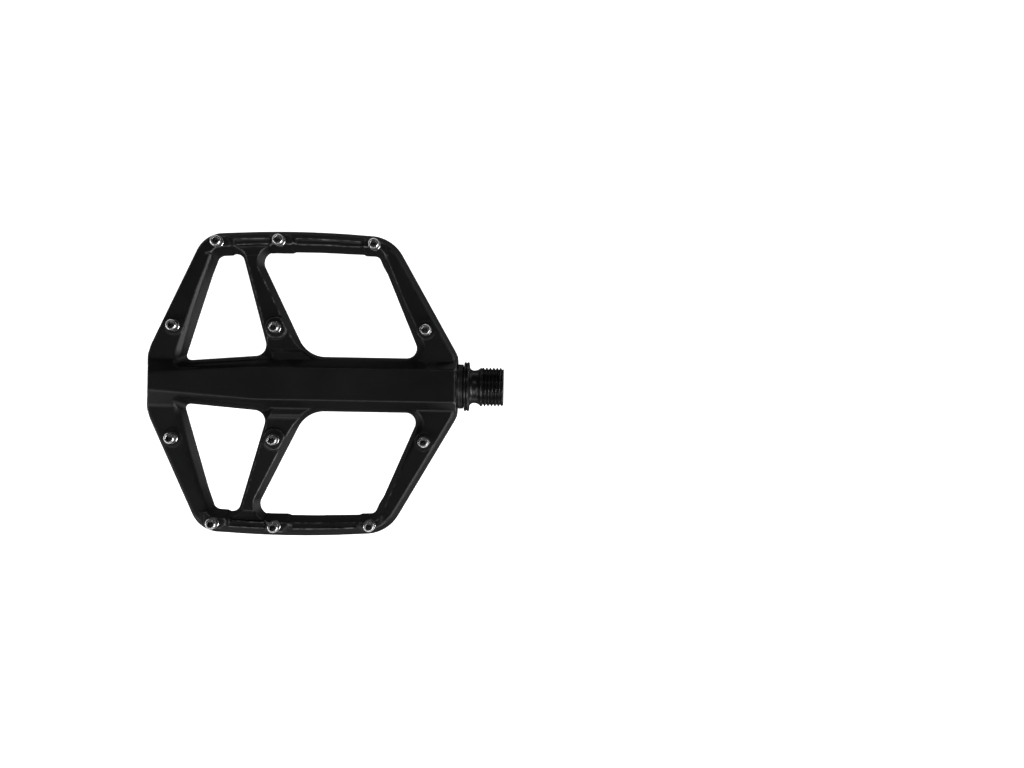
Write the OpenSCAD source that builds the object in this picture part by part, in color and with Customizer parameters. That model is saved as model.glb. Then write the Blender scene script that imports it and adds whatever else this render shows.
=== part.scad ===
// Flat bicycle pedal, left-hand side: a forged cage that turns on a crank spindle.
// X runs along the spindle towards the crank, Y across the tread and Z up through the tread.
// The origin is the centre of the spindle's shoulder face, which seats on the crank arm.
// The cage is drawn about its own centre and then moved outboard along the spindle.

/* [Cage] */
// Length of the cage along the spindle
cage_l = 114; // [112:1:118]
// Width of the cage across the tread
cage_w = 111.8; // [110:0.2:115]
// Space between the cage and the shoulder face
cage_gap = 4; // [3.5:0.5:6]
// Half height of the cage at the middle of the tread
cage_z = 5; // [4.8:0.1:5.5]
// Extra half height at the outer beams, which makes the tread concave
concave = 1.1; // [0.6:0.1:1.6]
// Width of the bevel round the outside of the cage
edge_bevel = 1.4; // [0.8:0.1:1.8]

/* [Axle housing] */
// Half height of the ridge over the spindle
ridge_z = 8.4; // [8.3:0.1:9]
// Half width of the ridge's flat top, inboard
ridge_w = 5.8; // [5:0.1:6.5]
// Half width of the ridge's flat top at the outboard end
ridge_tip_w = 2.8; // [2.5:0.1:3.5]
// Half width of the housing between the windows
housing_w = 10.05; // [9.6:0.05:10.6]

/* [Spindle] */
// Major diameter of the crank thread, 9/16 in x 20 per inch
thread_d = 14.29; // [14.29]
// Length from the shoulder face to the end of the thread
thread_end = 12.6; // [12:0.1:14]
// Diameter of the shoulder
shoulder_d = 18; // [17:0.5:20]
// Diameter of the large journal, in the bushing
journal_d = 12; // [11.6:0.1:12]
// Hex key size of the socket in the threaded end
key_af = 8; // [6:1:8]

/* [Bearings] */
// Outside diameter of the cartridge bearings
bearing_od = 13; // [13]
// Bore of the cartridge bearings
bearing_id = 6; // [6]
// Width of each cartridge bearing
bearing_b = 5; // [5]
// Number of balls in each bearing
ball_count = 7; // [6:1:8]
// Diameter of the balls
ball_d = 2.38; // [2.2:0.02:2.4]
// Radial running clearance of the spindle in the bushing and the seal
running_gap = 0.05; // [0.02:0.01:0.08]

/* [Pins] */
// Thread diameter of a traction pin
pin_d = 4; // [3:0.5:4]
// Height of a pin above its boss
pin_h = 4.6; // [3.5:0.1:5]
// Depth of a pin's thread in the cage
pin_thread = 5; // [4:0.5:5]
// Diameter of a pin's collar
pin_collar_d = 4.2; // [4.2:0.1:6]
// Hex key size of a pin
pin_key = 2; // [1.5:0.5:2]

/* [Hidden] */
$fn = 64;
eps = 0.01;

// Outline of the cage about its own centre. Each corner is [x, y, radius], for the half with +Y.
half_l = cage_l / 2;
half_w = cage_w / 2;
outline_half = [
    [-half_l, 11.5, 16],
    [-half_l + 20, half_w - 1.3, 11],
    [-2, half_w + 0.45, 360],
    [half_l - 25, half_w - 1.6, 14],
    [half_l, 10.8, 9]];
outboard_window = [
    [-43.3, 7.9, 2.6],
    [-12.65, housing_w + 0.35, 4],
    [-22.9, half_w - 8.8, 2.8],
    [-31.5, half_w - 9.3, 3]];
inboard_window = [
    [1.55, housing_w, 10.5],
    [43.3, housing_w, 3.6],
    [27.5, half_w - 8.5, 2.6],
    [6, half_w - 7.85, 60],
    [-17.2, half_w - 7.85, 4]];
cage_mid = -cage_gap - half_l;
cage_out = cage_mid - half_l;
bevel_z = 3.4;
blank_z = cage_z + concave + 0.6;

// Pin places about the cage's centre, for the half with +Y.
beam_pins = [[-30.25, 50.7], [-8, 51.5], [26.3, 50.6]];
outboard_arm_pin = [-46, 20.35];
strut_pin = [-9.3, 20.25];
inboard_arm_pin = [45.1, 20.2];
arm_pins = [outboard_arm_pin, strut_pin, inboard_arm_pin];
beam_boss_z = cage_z + concave + 0.4;
arm_boss_z = cage_z + 0.25;
arm_boss_d = 7.8;
pin_tip_r = 1.95;
pin_collar_h = 0.9;

// Places along the spindle, counted from the shoulder face.
seal_lip_l = 1.9;
seal_neck_l = 3.4;
bushing_l = 17.8;
bushing_x = cage_gap + seal_neck_l + 0.2;
bushing_seat = bushing_x + bushing_l + 0.2;
cap_recess = 2.4;
cap_t = 2.6;
cap_end = cage_out + cap_recess + cap_t;
oring_t = 1;
nut_t = 4.8;
washer_t = 0.8;
spacer_t = 0.6;
spindle_tip = cap_end + oring_t + 0.6;
washer_x = spindle_tip + 0.6 + nut_t;
bearing_2_x = washer_x + washer_t + bearing_b / 2;
bearing_1_x = bearing_2_x + bearing_b + spacer_t;
bearing_seat = bearing_1_x + bearing_b / 2;

// Radii.
thread_r = thread_d / 2;
neck_r = 6;
neck_fillet = 1.6;
journal_r = journal_d / 2;
bushing_r = 7;
seal_r = 7.3;
seal_lip_r = 8.2;
cap_r = 7;
bearing_r = bearing_od / 2;
race_r = bearing_id / 2;
through_r = 5.9;
spindle_shoulder_r = 4;
nut_thread_r = 2.5;
nut_af = 8;
ball_r = ball_d / 2;
ball_pitch_r = (bearing_r + race_r) / 2;
ball_gap = 0.05;
inner_land_r = 4;
outer_land_r = 5.5;

// Rounds one corner q between its neighbours p and s, as points on an arc of radius q[2].
function flat(p) = [p.x, p.y];
function unit(v) = v / norm(v);
function corner_arc(p, q, s, steps = 8) =
    let (
        a = unit(flat(p) - flat(q)),
        b = unit(flat(s) - flat(q)),
        half = acos(a * b) / 2,
        centre = flat(q) + unit(a + b) * q[2] / sin(half),
        start = flat(q) + a * q[2] / tan(half) - centre,
        from = atan2(start.y, start.x),
        side = a.x * b.y - a.y * b.x > 0 ? -1 : 1,
        sweep = side * (180 - 2 * half))
    [for (i = [0:steps]) centre + q[2] * [cos(from + sweep * i / steps), sin(from + sweep * i / steps)]];
function rounded(path) = [for (i = [0:len(path) - 1])
    each corner_arc(path[(i + len(path) - 1) % len(path)], path[i], path[(i + 1) % len(path)])];
function mirrored(path) = [for (i = [len(path) - 1:-1:0]) [path[i].x, -path[i].y, path[i][2]]];

module both_sides() {
    children();
    mirror([0, 1, 0]) children();
}

module both_faces() {
    children();
    mirror([0, 0, 1]) children();
}

// A round piece drawn as [x, radius] points along the spindle.
module turned(profile) {
    rotate([0, 90, 0]) rotate_extrude() polygon([for (p = profile) [p[1], p[0]]]);
}

module ring(x, length, inner, outer) {
    turned([[x, inner], [x + length, inner], [x + length, outer], [x, outer]]);
}

module hex_bar(x, length, af) {
    translate([x, 0, 0]) rotate([0, 90, 0]) cylinder(h = length, r = af / sqrt(3), $fn = 6);
}

/* ---- cage ---- */

// Half height of the plate at a distance y from the spindle: lowest in the middle of the tread.
function plate_z(y) = cage_z + concave * pow(y / half_w, 2);

// The outline as a solid blank with bevelled edges, higher than the cage.
module blank() {
    outline = rounded(concat(outline_half, mirrored(outline_half)));
    hull() {
        linear_extrude(2 * bevel_z, center = true) polygon(outline);
        linear_extrude(2 * blank_z, center = true) offset(delta = -edge_bevel) polygon(outline);
    }
}

module plate() {
    step = 8;
    ys = [-7 * step:step:7 * step];
    intersection() {
        blank();
        translate([-cage_l, 0, 0]) rotate([90, 0, 90]) linear_extrude(2 * cage_l)
            polygon(concat([for (y = ys) [y, -plate_z(y)]], [for (y = ys) [-y, plate_z(y)]]));
    }
}

// One slice of the axle housing, with its ridge half as wide as ridge and its foot half as wide as foot.
module housing_slice(ridge, foot) {
    half = [[foot, 3.2], [foot - 1.4, cage_z + 0.2], [ridge + 1, ridge_z - 1.6], [ridge, ridge_z]];
    rotate([90, 0, 90]) linear_extrude(eps) polygon([
        for (p = half) p,
        for (i = [3:-1:0]) [-half[i].x, half[i].y],
        for (p = half) [-p.x, -p.y],
        for (i = [3:-1:0]) [half[i].x, -half[i].y]]);
}

// The foot is drawn a little wide, and the windows trim it.
module housing() {
    taper_x = -16;
    foot = housing_w + 0.2;
    hull() {
        translate([taper_x, 0, 0]) housing_slice(ridge_w, foot);
        translate([half_l - eps, 0, 0]) housing_slice(ridge_w, foot);
    }
    hull() {
        translate([taper_x, 0, 0]) housing_slice(ridge_w, foot);
        translate([-half_l, 0, 0]) housing_slice(ridge_tip_w, foot - 3.1);
    }
}

// The raised pads that the pins stand on.
module bosses() {
    both_sides() both_faces() {
        for (p = arm_pins) translate([p.x, p.y, 0]) cylinder(h = arm_boss_z, d = arm_boss_d);
        for (p = beam_pins) translate([p.x, p.y, 0]) cylinder(h = beam_boss_z, d = pin_d + 2.6);
    }
}

module housing_bore() {
    turned([
        [cage_out - 1, 0], [cage_out - 1, cap_r], [cap_end + oring_t, cap_r],
        [cap_end + oring_t, bearing_r], [bearing_seat, bearing_r], [bearing_seat, through_r],
        [-bushing_seat, through_r], [-bushing_seat, bushing_r], [-bushing_x, bushing_r],
        [-bushing_x, seal_r], [1 - cage_gap, seal_r], [1 - cage_gap, 0]]);
}

module cage() {
    color("#1b1b1d") difference() {
        translate([cage_mid, 0, 0]) difference() {
            union() {
                plate();
                housing();
                bosses();
            }
            both_sides() for (window = [outboard_window, inboard_window])
                translate([0, 0, -2 * ridge_z]) linear_extrude(4 * ridge_z) polygon(rounded(window));
            both_sides() both_faces() {
                for (p = arm_pins) translate([p.x, p.y, arm_boss_z - pin_thread])
                    cylinder(h = pin_thread + 1, d = pin_d);
                for (p = beam_pins) translate([p.x, p.y, beam_boss_z - pin_thread])
                    cylinder(h = pin_thread + 1, d = pin_d);
            }
        }
        housing_bore();
    }
}

/* ---- pins ---- */

// One traction pin standing on z = 0, with its thread below.
module pin() {
    difference() {
        rotate_extrude() polygon([
            [0, -pin_thread + 0.1], [pin_d / 2 - 0.4, -pin_thread + 0.1], [pin_d / 2, -pin_thread + 0.5],
            [pin_d / 2, 0], [pin_collar_d / 2, 0], [pin_collar_d / 2, pin_collar_h - 0.1],
            [pin_collar_d / 2 - 0.1, pin_collar_h], [pin_tip_r, pin_collar_h],
            [pin_tip_r, pin_h - 0.4], [pin_tip_r - 0.4, pin_h], [0, pin_h]]);
        translate([0, 0, pin_h - 2]) cylinder(h = 3, r = pin_key / sqrt(3), $fn = 6);
    }
}

// Pins at the places given, standing on pads at height z, on the upper or the lower face.
module pins(places, z, upper) {
    color("#c9ccd0") translate([cage_mid, 0, 0]) mirror([0, 0, upper ? 0 : 1])
        for (p = places) translate([p.x, p.y, z]) pin();
}

function across(places) = [for (p = places) [p.x, -p.y]];
function pair(p) = [p, [p.x, -p.y]];

/* ---- spindle and what rides on it ---- */

module spindle() {
    socket_depth = 8;
    groove = 0.35;
    color("#202124") difference() {
        turned(concat(
            [[thread_end, 0], [thread_end, thread_r - 0.7], [thread_end - 0.7, thread_r], [4.2, thread_r],
             [3.4, neck_r], [neck_fillet, neck_r]],
            [for (a = [15:15:75]) [neck_fillet * (1 - sin(a)), neck_r + neck_fillet * (1 - cos(a))]],
            [[0, neck_r + neck_fillet], [0, shoulder_d / 2],
             [-0.7, shoulder_d / 2], [-0.7, shoulder_d / 2 - groove],
             [-1.1, shoulder_d / 2 - groove], [-1.1, shoulder_d / 2],
             [-1.8, shoulder_d / 2], [-1.8, journal_r],
             [-bushing_seat + 0.3, journal_r], [-bushing_seat - 0.2, through_r - 0.5],
             [bearing_seat + 4, spindle_shoulder_r], [bearing_seat, spindle_shoulder_r],
             [bearing_seat, race_r], [washer_x, race_r], [washer_x, nut_thread_r],
             [spindle_tip + 0.5, nut_thread_r], [spindle_tip, nut_thread_r - 0.5], [spindle_tip, 0]]));
        hex_bar(thread_end - socket_depth, socket_depth + 1, key_af);
    }
}

module inboard_bushing() {
    color("#c8b88a") ring(-bushing_x - bushing_l, bushing_l, journal_r + running_gap, bushing_r);
}

module lip_seal() {
    inner = journal_r + running_gap;
    rib = 0.25;
    color("#151515") turned([
        [-cage_gap - seal_neck_l, inner], [-cage_gap + seal_lip_l, inner],
        [-cage_gap + seal_lip_l, seal_lip_r - rib], [-cage_gap + seal_lip_l - rib, seal_lip_r],
        [-cage_gap + 1.2, seal_lip_r], [-cage_gap + 1.2, seal_lip_r - rib],
        [-cage_gap + 0.8, seal_lip_r - rib], [-cage_gap + 0.8, seal_lip_r],
        [-cage_gap, seal_lip_r], [-cage_gap, seal_r], [-cage_gap - seal_neck_l, seal_r]]);
}

module end_cap() {
    socket_depth = 1.6;
    face = cap_end - cap_t;
    color("#1b1b1d") difference() {
        turned([[cap_end, 0], [cap_end, cap_r], [face + 0.5, cap_r], [face, cap_r - 0.5], [face, 0]]);
        hex_bar(face - 1, socket_depth + 1, 5);
    }
}

module end_cap_oring() {
    color("#151515") translate([cap_end + oring_t / 2, 0, 0]) rotate([0, 90, 0])
        rotate_extrude() translate([cap_r - oring_t / 2 - 0.02, 0]) circle(d = oring_t - 0.04);
}

module lock_nut() {
    collar_t = 1.2;
    color("#b9bcc0") difference() {
        union() {
            hex_bar(washer_x - nut_t + collar_t, nut_t - collar_t, nut_af);
            translate([washer_x - nut_t, 0, 0]) rotate([0, 90, 0]) cylinder(h = collar_t, d = nut_af);
        }
        ring(washer_x - nut_t - 1, nut_t + 2, 0, nut_thread_r);
        ring(washer_x - nut_t - 1, collar_t + 1, 0, 3.4);
    }
}

module lock_nut_insert() {
    color("#3f6fb5") ring(washer_x - nut_t, 1.2, nut_thread_r, 3.4);
}

module nut_washer() {
    color("#b9bcc0") ring(washer_x, washer_t, race_r, inner_land_r + 0.6);
}

module inner_spacer() {
    color("#9b9ea2") ring(bearing_2_x + bearing_b / 2, spacer_t, race_r, inner_land_r);
}

module outer_spacer() {
    color("#9b9ea2") ring(bearing_2_x + bearing_b / 2, spacer_t, outer_land_r + 0.1, bearing_r);
}

/* ---- cartridge bearings, each centred on x ---- */

module ball_track(x) {
    translate([x, 0, 0]) rotate([0, 90, 0])
        rotate_extrude() translate([ball_pitch_r, 0]) circle(r = ball_r + ball_gap);
}

module outer_race(x) {
    color("#a9acb1") difference() {
        ring(x - bearing_b / 2, bearing_b, outer_land_r, bearing_r);
        ball_track(x);
    }
}

module inner_race(x) {
    color("#a9acb1") difference() {
        ring(x - bearing_b / 2, bearing_b, race_r, inner_land_r);
        ball_track(x);
    }
}

module at_balls(x) {
    translate([x, 0, 0]) for (i = [0:ball_count - 1])
        rotate([i * 360 / ball_count, 0, 0]) translate([0, 0, ball_pitch_r]) children();
}

module balls(x) {
    color("#d6d8db") at_balls(x) sphere(r = ball_r);
}

module ball_cage(x) {
    cage_half = 1.45;
    color("#8f6f3a") difference() {
        ring(x - cage_half, 2 * cage_half, ball_pitch_r - 0.4, ball_pitch_r + 0.4);
        at_balls(x) sphere(r = ball_r + ball_gap);
    }
}

module seals(x) {
    seal_t = 0.4;
    color("#7d2b22") for (side = [-1, 1])
        ring(x + side * (bearing_b / 2 - seal_t) - seal_t / 2, seal_t, inner_land_r + 0.08, outer_land_r);
}

cage();
spindle();
inboard_bushing();
lip_seal();
end_cap();
end_cap_oring();
lock_nut();
lock_nut_insert();
nut_washer();
inner_spacer();
outer_spacer();
outer_race(bearing_1_x);  // bearing_1_outer_race
inner_race(bearing_1_x);  // bearing_1_inner_race
balls(bearing_1_x);  // bearing_1_balls
ball_cage(bearing_1_x);  // bearing_1_ball_cage
seals(bearing_1_x);  // bearing_1_seals
outer_race(bearing_2_x);  // bearing_2_outer_race
inner_race(bearing_2_x);  // bearing_2_inner_race
balls(bearing_2_x);  // bearing_2_balls
ball_cage(bearing_2_x);  // bearing_2_ball_cage
seals(bearing_2_x);  // bearing_2_seals
pins(beam_pins, beam_boss_z, true);  // pins_upper_front_beam
pins(across(beam_pins), beam_boss_z, true);  // pins_upper_rear_beam
pins(pair(outboard_arm_pin), arm_boss_z, true);  // pins_upper_outboard_arms
pins(pair(strut_pin), arm_boss_z, true);  // pins_upper_struts
pins(pair(inboard_arm_pin), arm_boss_z, true);  // pins_upper_inboard_arms
pins(beam_pins, beam_boss_z, false);  // pins_lower_front_beam
pins(across(beam_pins), beam_boss_z, false);  // pins_lower_rear_beam
pins(pair(outboard_arm_pin), arm_boss_z, false);  // pins_lower_outboard_arms
pins(pair(strut_pin), arm_boss_z, false);  // pins_lower_struts
pins(pair(inboard_arm_pin), arm_boss_z, false);  // pins_lower_inboard_arms
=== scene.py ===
"""Looks for the flat pedal: a forged cage, a turned spindle, traction pins and the parts inside.

Shapes are worked out in millimetres, about the middle of the cage, and turned into metres at the end.
"""
import math

import bpy
import numpy as np
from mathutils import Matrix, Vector


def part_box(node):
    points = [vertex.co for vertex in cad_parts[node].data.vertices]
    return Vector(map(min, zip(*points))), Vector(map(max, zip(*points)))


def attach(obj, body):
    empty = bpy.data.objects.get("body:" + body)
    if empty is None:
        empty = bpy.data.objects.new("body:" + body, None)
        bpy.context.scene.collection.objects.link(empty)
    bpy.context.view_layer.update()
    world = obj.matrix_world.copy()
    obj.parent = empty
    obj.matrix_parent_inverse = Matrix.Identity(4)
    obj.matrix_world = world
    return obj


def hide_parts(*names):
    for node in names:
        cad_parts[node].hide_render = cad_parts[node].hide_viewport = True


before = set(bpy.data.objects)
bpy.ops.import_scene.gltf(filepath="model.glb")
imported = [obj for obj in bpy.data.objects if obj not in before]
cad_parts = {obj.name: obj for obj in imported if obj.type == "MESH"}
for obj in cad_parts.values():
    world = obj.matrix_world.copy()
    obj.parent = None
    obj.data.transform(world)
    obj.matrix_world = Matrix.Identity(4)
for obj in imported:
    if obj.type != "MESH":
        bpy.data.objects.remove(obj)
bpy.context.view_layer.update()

MM = 0.001


def box_mm(node):
    """Lowest and highest corner of a CAD node, in millimetres."""
    low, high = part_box(node)
    return np.array(low) / MM, np.array(high) / MM


# ---- driving sizes, in millimetres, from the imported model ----
CAGE_LOW, CAGE_HIGH = box_mm("cage")
CAGE_MID_X = (CAGE_LOW[0] + CAGE_HIGH[0]) / 2
HALF_L = (CAGE_HIGH[0] - CAGE_LOW[0]) / 2
HALF_W = (CAGE_HIGH[1] - CAGE_LOW[1]) / 2
RIDGE_Z = CAGE_HIGH[2]
TO_ROW = np.array([CAGE_MID_X, 0.0, 0.0])
PIN_NODES = sorted(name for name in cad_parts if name.startswith("pins_"))
PIN_APART = 8.0          # points of one pin are nearer to each other than this, and pins are further apart


def loose_boxes(node):
    """The boxes of the separate solids in a CAD node, about the middle of the cage."""
    points = np.array([v.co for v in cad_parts[node].data.vertices]) / MM - TO_ROW
    groups = []
    for p in points:
        for group in groups:
            if np.hypot(*(group[0][:2] - p[:2])) < PIN_APART:
                group.append(p)
                break
        else:
            groups.append([p])
    return [(np.min(g, axis=0), np.max(g, axis=0)) for g in groups]


def pin_places(node):
    """Each pin in a node as (x, y, tip): where its axis is, and how far its tip is from the middle plane."""
    places = []
    for low, high in loose_boxes(node):
        x, y = (low[:2] + high[:2]) / 2
        tip = max(abs(low[2]), abs(high[2]))
        places.append((x, y, tip))
    return places


PIN_H, PIN_L = 4.6, 4.9  # length of a pin above and below the pad that it stands on
PIN_COLLAR_R = 2.1
THREAD_R = 14.29 / 2     # major radius of the spindle's 9/16 in thread
THREAD_PITCH = 1.27
THREAD_END, THREAD_END_SLOPE = 0.7, 0.95         # length and slope of the chamfer on the thread's end
BEAM_Y = 40              # pins further from the spindle than this stand on a beam
STRUT_X = (-20, 0)       # of the others, pins between these stand on a strut
TOP_PINS = [p for name in PIN_NODES if name.startswith("pins_upper") for p in pin_places(name) if p[1] > 0]
BEAM_PINS = sorted(p for p in TOP_PINS if p[1] > BEAM_Y)
ARM_PINS = sorted(p for p in TOP_PINS if p[1] < BEAM_Y)

# How far the uncut beam reaches outboard and inboard of each of its pins, where a lug stands
LUG_REACH = [(4.6, 5.3), (3.3, 5.6), (4.9, 4.6)]
LUG_ENDS = [(p[0] - before, p[0] + after) for p, (before, after) in zip(BEAM_PINS, LUG_REACH)]
# The lugs themselves: (reach, end slope) outboard of the pin, and the same inboard of it
LUG_SHAPES = [((3.6, 2.0), (4.0, 0.7)), ((3.1, 0.7), (5.0, 0.7)), ((4.0, 0.7), (3.4, 2.0))]
# The two steps between lugs: (depth, distance from the outline, slope of the step)
CHANNEL_STEPS = [((0.5, 3.25, 0.6), (1.35, 4.8, 0.8)), ((0.5, 3.25, 0.6), (1.35, 5.2, 0.8))]

# ---- cage: heights and slopes ----
TREAD_Z = 5.0            # half height of the tread at the spindle
CONCAVE = 1.1            # how much higher the beams are
OUTER_DRAFT = 0.31       # slope of the outside walls, sideways per unit of height
WINDOW_DRAFT = 0.4       # the same inside the windows
STEEP_OUTBOARD = 0.27    # the same beside the spindle housing, in the outboard windows
STEEP_INBOARD = 0.18     # and in the inboard windows
ARM_DRAFT_AT = [12, 25, 35, 45]          # distances from the spindle along an outboard arm
ARM_DRAFT = [0.4, 0.42, 0.36, 0.22]      # slope of the arm's inner wall at those distances
CHAMFER_SLOPE = 0.83     # slope of the chamfer above the window walls
EDGE_ROUND = 0.22        # rounding of sharp edges
SOFT_ROUND = 0.35        # rounding of the housing, the pads and the lugs
END_ROUND = 0.4          # rounding of the housing's ends and of the pockets' bite into its flanks
BORE_ROUND = 0.2
LUG_FILLET = 0.3         # fillet between a lug and the beam
HOUSING_FILLET = 0.5     # fillet between the housing and the tread
BEAM_BLEND = (47, 54)    # distances from the spindle over which the rim takes on its shape on the beams
HOUSING_BLEND = (11, 18)         # the same, from the steep window walls to those at WINDOW_DRAFT
LUG_BULGE = 0.45         # how far a beam stands out into the window behind each lug
LUG_BULGE_X = (3.6, 4.8)         # where that fades, as distances from the pin along the beam
LUG_BULGE_A = (40, 44)           # where it starts, as distances from the spindle
ARM_CORNER = 2.2         # radius in the outboard windows between the arm and the other walls
BITE_SLOPE = 2.4         # slope of the pockets' bite into the housing's flanks
BITE_SCALE = 1.9         # brings the field of that steep bite back near to a distance
RIDGE_W, RIDGE_TIP_W = 5.9, 2.9          # half width of the housing's flat top: inboard, outboard end
RIDGE_TAPER_X = -16.0    # where that width starts to taper
FLANK_FOOT = 8.9         # half width of the housing at the foot of its flanks
FLANK_FOOT_SLOPE = 0.4

# Corners as (x, y, radius). The outline is the whole cage's, and the rest are for the half with +Y.
OUTLINE = [(-HALF_L, 11.5, 16), (-HALF_L + 20, HALF_W - 1.3, 11), (-2, HALF_W + 0.45, 360),
           (HALF_L - 25, HALF_W - 1.6, 14), (HALF_L, 10.8, 9),
           (HALF_L, -10.8, 9), (HALF_L - 25, 1.6 - HALF_W, 14), (-2, -HALF_W - 0.45, 360),
           (-HALF_L + 20, 1.3 - HALF_W, 11), (-HALF_L, -11.5, 16)]
# The outboard window with its arm side moved out, because ARM_SIDE cuts that side with its own slope
WINDOW_PAST_ARM = [(-55.3, 6.92, 1), (-12.65, 10.4, 4), (-22.9, 47.1, 2.8), (-43.5, 46.08, 1)]
INBOARD_WINDOW = [(1.55, 10.05, 10.5), (43.3, 10.05, 3.6), (27.5, 47.4, 2.6),
                  (6, 48.05, 60), (-17.2, 48.05, 4)]
ARM_SIDE = [(-43.3, 7.9), (-31.5, 46.6)]
OUTBOARD_POCKET = [(-46, 4.6, 3.5), (-9, 4.6, 2), (-20, 47.6, 3),
                   (-33.2, 47.6, 2.5), (-38.2, 34.5, 60), (-45.7, 11.4, 8)]
# The part of that pocket that bites into the flank of the spindle housing
FLANK_POCKET = [(-46, 6.0, 3.2), (-9, 8.6, 1), (-20, 47.6, 3),
                (-33.2, 47.6, 2.5), (-38.2, 34.5, 60), (-45.7, 11.4, 8)]
INBOARD_POCKET = [(0.5, 8.6, 10), (48, 8.2, 5.5), (29, 47.6, 2.6), (-17.2, 48.2, 4)]


def unit(v):
    """The vector at length 1."""
    return v / np.linalg.norm(v)


FAR = 1e9                # a distance that every real one is less than


def rounded_distance(xy, corners):
    """Signed distance to a convex outline with round corners: negative inside."""
    points = np.array([c[:2] for c in corners], float)
    if np.cross(points[1] - points[0], points[2] - points[1]) < 0:
        corners, points = corners[::-1], points[::-1]
    ahead = [unit(np.roll(points, -1, axis=0)[i] - points[i]) for i in range(len(points))]
    distance = np.full(len(xy), -FAR)
    for p, t in zip(points, ahead):
        distance = np.maximum(distance, (xy[:, 0] - p[0]) * t[1] - (xy[:, 1] - p[1]) * t[0])
    for i, (x, y, radius) in enumerate(corners):
        before, after = ahead[i - 1], ahead[i]
        half = math.acos(float(np.dot(-before, after))) / 2
        centre = np.array([x, y]) + unit(after - before) * radius / math.sin(half)
        v = xy - centre
        in_cone = (v @ before > 0) & (v @ after < 0)
        distance = np.where(in_cone, np.maximum(np.hypot(v[:, 0], v[:, 1]) - radius, distance), distance)
    return distance


def smooth_max(a, b, k=EDGE_ROUND):
    """The larger of two fields, with the edge where they cross rounded."""
    h = np.maximum(k - np.abs(a - b), 0) / k
    return np.maximum(a, b) + h * h * k / 4


def smooth_min(a, b, k):
    """The smaller of two fields, with a fillet where they cross."""
    return -smooth_max(-a, -b, k)


def round_max(a, b, radius):
    """The larger of two fields, with an arc of the given radius where they cross."""
    corner = np.hypot(np.maximum(a + radius, 0), np.maximum(b + radius, 0))
    return np.minimum(np.maximum(a, b), -radius) + corner


def line_distance(xy, start, end):
    """Distance to the left of the line from start to end."""
    along = unit(np.subtract(end, start))
    return (xy[:, 1] - start[1]) * along[0] - (xy[:, 0] - start[0]) * along[1]


def step_up(v, low, high):
    """0 below low, 1 above high, smooth between."""
    t = np.clip((v - low) / (high - low), 0, 1)
    return t * t * (3 - 2 * t)


def intersect(*fields, k=EDGE_ROUND):
    """The solid inside all of the fields, with rounded edges."""
    result = fields[0]
    for field in fields[1:]:
        result = smooth_max(result, field, k)
    return result


def plane(sideways, up, slope):
    """A tilted face: sideways grows outwards, up grows upwards, slope is sideways per unit of up."""
    return (sideways + slope * up) / np.hypot(1, slope)


def tread_height(a):
    """Half height of the tread at a distance a from the spindle: the tread is dished."""
    return TREAD_Z + CONCAVE * (a / HALF_W) ** 2


def beam_channels(x, h, inward, tread):
    """The two steps cut into each beam between its lugs, as the solid that is taken away."""
    end_slope = 0.7
    beam_depth = 9
    below = tread - h
    cut = np.full(len(x), FAR)
    for left, right, steps in zip(LUG_ENDS, LUG_ENDS[1:], CHANNEL_STEPS):
        for depth, start, slope in steps:
            cut = np.minimum(cut, intersect(
                (tread - depth) - h,
                plane(start - inward, below, slope),
                plane(left[1] - x, below, end_slope),
                plane(x - right[0], below, end_slope),
                inward - beam_depth))
    return cut


def strut_recess(x, a, h):
    """What is taken off the strut between the windows, which is lower than the rest of the tread."""
    floor = 4.3 + 0.2 * a / 50
    foot, foot_top, foot_slope = 11.2, 5.2, 1.1
    beam_side, outboard_side = 49.2, -26.0
    # the inboard side leans along the strut
    inboard_foot_x, inboard_foot_a, lean = 4.5, 11, 0.5
    return intersect(
        floor - h,
        plane(foot - a, foot_top - h, foot_slope),
        a - beam_side,
        outboard_side - x,
        (x - inboard_foot_x + (a - inboard_foot_a) * lean) / math.hypot(1, lean),
        k=0.8)


def pin_pads(x, a, h):
    """The round pads under the arm and strut pins."""
    arm_pad, strut_pad, pad_slope = 3.3, 3.9, 0.25
    field = np.full(len(x), FAR)
    for px, py, tip in ARM_PINS:
        r = np.hypot(x - px, a - py)
        wide = strut_pad if STRUT_X[0] < px < STRUT_X[1] else arm_pad
        pad = intersect(h - (tip - PIN_H), plane(r - wide, h - (tip - PIN_H), pad_slope), k=SOFT_ROUND)
        field = np.minimum(field, pad)
    return field


def beam_lugs(x, a, h, inward):
    """The raised blocks that the beam pins stand on, each with its two outer corners cut off."""
    edge_gap, edge_slope = 1.15, 0.75
    front_a, front_slope = 46.9, 0.3
    corner_reach, corner_slope = 4.6, 0.7
    field = np.full(len(x), FAR)
    for (px, py, tip), (outboard, inboard) in zip(BEAM_PINS, LUG_SHAPES):
        above = h - (tip - PIN_H)
        corners = [(side * (x - px) + (a - py) - corner_reach) / math.sqrt(2) for side in (1, -1)]
        block = intersect(
            above,
            plane(px - outboard[0] - x, above, outboard[1]),
            plane(x - px - inboard[0], above, inboard[1]),
            plane(-inward + edge_gap, above, edge_slope),
            plane(front_a - a, above, front_slope),
            plane(corners[0], above, corner_slope),
            plane(corners[1], above, corner_slope),
            k=SOFT_ROUND)
        field = np.minimum(field, block)
    return field


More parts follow.
